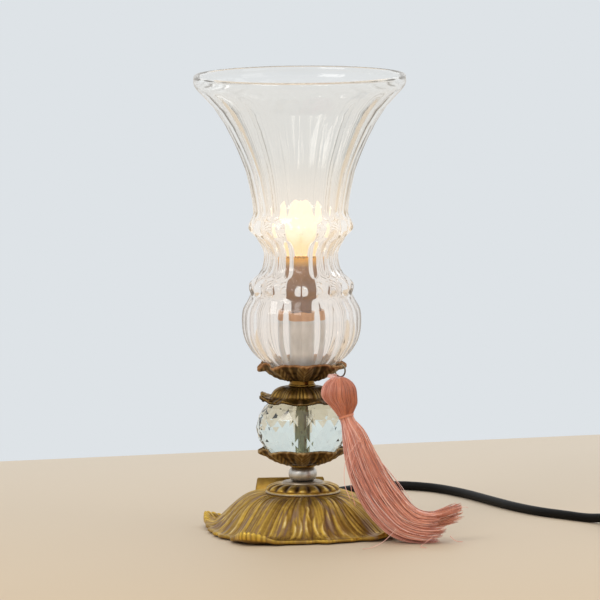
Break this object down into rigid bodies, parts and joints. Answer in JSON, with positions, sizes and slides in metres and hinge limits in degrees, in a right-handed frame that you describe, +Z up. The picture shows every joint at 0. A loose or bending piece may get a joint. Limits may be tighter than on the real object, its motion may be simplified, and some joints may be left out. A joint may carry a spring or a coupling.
{
  "type": "table lamp",
  "caption": "Table lamp with a tall fluted glass shade on leaf cups and a cut crystal ball, a cast foot, a hanging silk tassel and a mains lead",
  "frame": {"origin": "on the stem axis at the underside of the felt, which is the table plane", "axes": "+Z up along the stem towards the shade rim; -Y towards the viewer of the picture; +X to the right"},
  "size_m": [0.4519, 0.3029, 0.3296],
  "materials": {
    "felt": "matt felt",
    "old_gold": "patinated cast brass with worn gold edges",
    "steel": "plain zinc-plated steel",
    "brass": "bright brass",
    "satin_nickel": "satin nickel",
    "crystal": "cut clear crystal",
    "rubber": "soft washer",
    "shade_glass": "clear pressed glass with a faint warm tint",
    "holder_satin": "satin turned metal",
    "copper": "polished copper",
    "brown_brass": "brown antique brass",
    "ceramic": "cream insulator",
    "wire_brown": "brown wire covering",
    "wire_blue": "blue wire covering",
    "bulb_glass": "thin clear lamp glass, lit",
    "filament": "glowing wire",
    "silk": "salmon pink silk thread",
    "black_plastic": "moulded black plastic",
    "black_lead": "black round mains lead"
  },
  "bodies": {
    "lamp": {"base_felt": "felt", "base_casting": "old_gold", "bottom_nut": "brass", "lock_washer": "steel", "bottom_washer": "steel", "threaded_tube": "brass", "base_collar": "old_gold", "ball_spacer": "satin_nickel", "lower_neck_ring": "old_gold", "lower_leaf_cup": "old_gold", "crystal_ball": "crystal", "crystal_pad": "rubber", "upper_leaf_cap": "old_gold", "upper_neck_ring": "old_gold", "shade_leaf_cup": "old_gold", "shade_seat_washer": "rubber", "glass_shade": "shade_glass", "shade_top_washer": "rubber", "holder_cup": "holder_satin", "holder_nut": "brass", "holder_ring": "copper", "holder_sleeve": "brown_brass", "holder_stem": "steel", "socket_insulator": "ceramic", "screw_shell": "brass", "center_contact": "brass", "contact_rivets": "brass", "live_lead": "wire_brown", "neutral_lead": "wire_blue", "cord_grip": "black_plastic", "lead_tail": "black_lead", "lamp_cord": "black_lead", "switch_bottom": "black_plastic", "switch_top": "black_plastic", "switch_pivot": "steel", "switch_contacts": "brass", "switch_screws": "steel", "switch_cord": "black_lead", "cord_coil": "black_lead", "coil_tie": "black_plastic", "plug_cord": "black_lead", "plug_body": "black_plastic", "plug_blades": "brass"},
    "bulb_tip": {"bulb_contact": "satin_nickel"},
    "bulb": {"bulb_cap": "brass", "bulb_glass": "bulb_glass", "bulb_stem": "bulb_glass", "bulb_filament": "filament"},
    "ring": {"tassel_ring": "old_gold"},
    "tassel": {"tassel_loop": "silk", "tassel_head": "silk", "tassel_tie": "silk", "tassel_skirt": "silk"},
    "rocker": {"switch_rocker": "black_plastic"}
  },
  "joints": [
    {"name": "bulb_rise", "type": "slide", "parent": "lamp", "child": "bulb_tip", "axis": [0, 0, 1], "range_m": [0, 0.00763]},
    {"name": "bulb_turn", "type": "hinge", "parent": "bulb_tip", "child": "bulb", "pos_m": [0, 0, 0.2], "axis": [0, 0, 1], "range_deg": [0, 1080]},
    {"name": "ring_swing", "type": "hinge", "parent": "lamp", "child": "ring", "pos_m": [0.02712, -0.02275, 0.1222], "axis": [-0.6428, -0.766, 0], "range_deg": [0, 50]},
    {"name": "tassel_swing", "type": "hinge", "parent": "ring", "child": "tassel", "pos_m": [0.02712, -0.02275, 0.1149], "axis": [-0.766, 0.6428, 0], "range_deg": [0, 35]},
    {"name": "switch_press", "type": "hinge", "parent": "lamp", "child": "rocker", "pos_m": [0.251, -0.004, 0.0154], "axis": [0.7071, 0.7071, 0], "range_deg": [-24, 0]}
  ],
  "couplings": [
    {"joint": "bulb_rise", "follows": "bulb_turn", "m_per_rad": 0.00040425}
  ]
}
